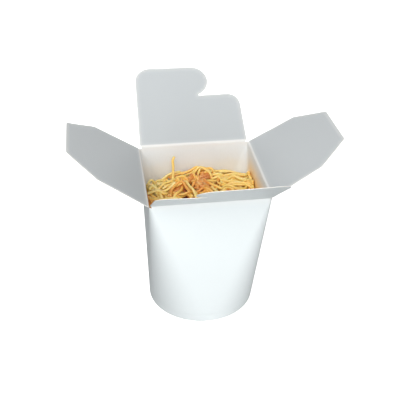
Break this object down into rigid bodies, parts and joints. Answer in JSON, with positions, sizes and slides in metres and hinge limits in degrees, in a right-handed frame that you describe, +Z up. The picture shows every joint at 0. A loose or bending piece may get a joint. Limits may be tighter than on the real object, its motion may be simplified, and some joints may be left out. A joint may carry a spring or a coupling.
{
  "type": "noodle takeaway box",
  "caption": "Open paperboard takeaway box with a round base, square mouth, hooked main flaps and chamfered side flaps, filled with fried noodles.",
  "frame": {"origin": "middle of the box's foot, on the surface that it stands on", "axes": "+Z up; the front of the box faces -Y, and +X is to its viewer's right"},
  "size_m": [0.2148, 0.219, 0.1711],
  "materials": {
    "board": "smooth white coated board",
    "base_board": "plain uncoated board",
    "noodle": "oily, golden yellow",
    "browned": "browned, thinly sauced"
  },
  "bodies": {
    "box": {"wall": "board", "base": "base_board", "noodles": "noodle", "browned_strip_1": "browned", "browned_strip_2": "browned", "browned_strip_3": "browned", "browned_strip_4": "browned", "browned_strip_5": "browned"},
    "back_flap": {"flap_back": "board"},
    "left_flap": {"flap_left": "board"},
    "front_flap": {"flap_front": "board"},
    "right_flap": {"flap_right": "board"}
  },
  "joints": [
    {"name": "back_crease", "type": "hinge", "parent": "box", "child": "back_flap", "pos_m": [0, 0.0483, 0.1223], "axis": [-1, 0, 0], "range_deg": [-143.6, 114.4]},
    {"name": "left_crease", "type": "hinge", "parent": "box", "child": "left_flap", "pos_m": [-0.0483, 0, 0.1211], "axis": [0, -1, 0], "range_deg": [-145.2, 112.8]},
    {"name": "front_crease", "type": "hinge", "parent": "box", "child": "front_flap", "pos_m": [0, -0.0483, 0.1229], "axis": [1, 0, 0], "range_deg": [-141.4, 116.6]},
    {"name": "right_crease", "type": "hinge", "parent": "box", "child": "right_flap", "pos_m": [0.0483, 0, 0.1217], "axis": [0, 1, 0], "range_deg": [-148.5, 109.5]}
  ]
}
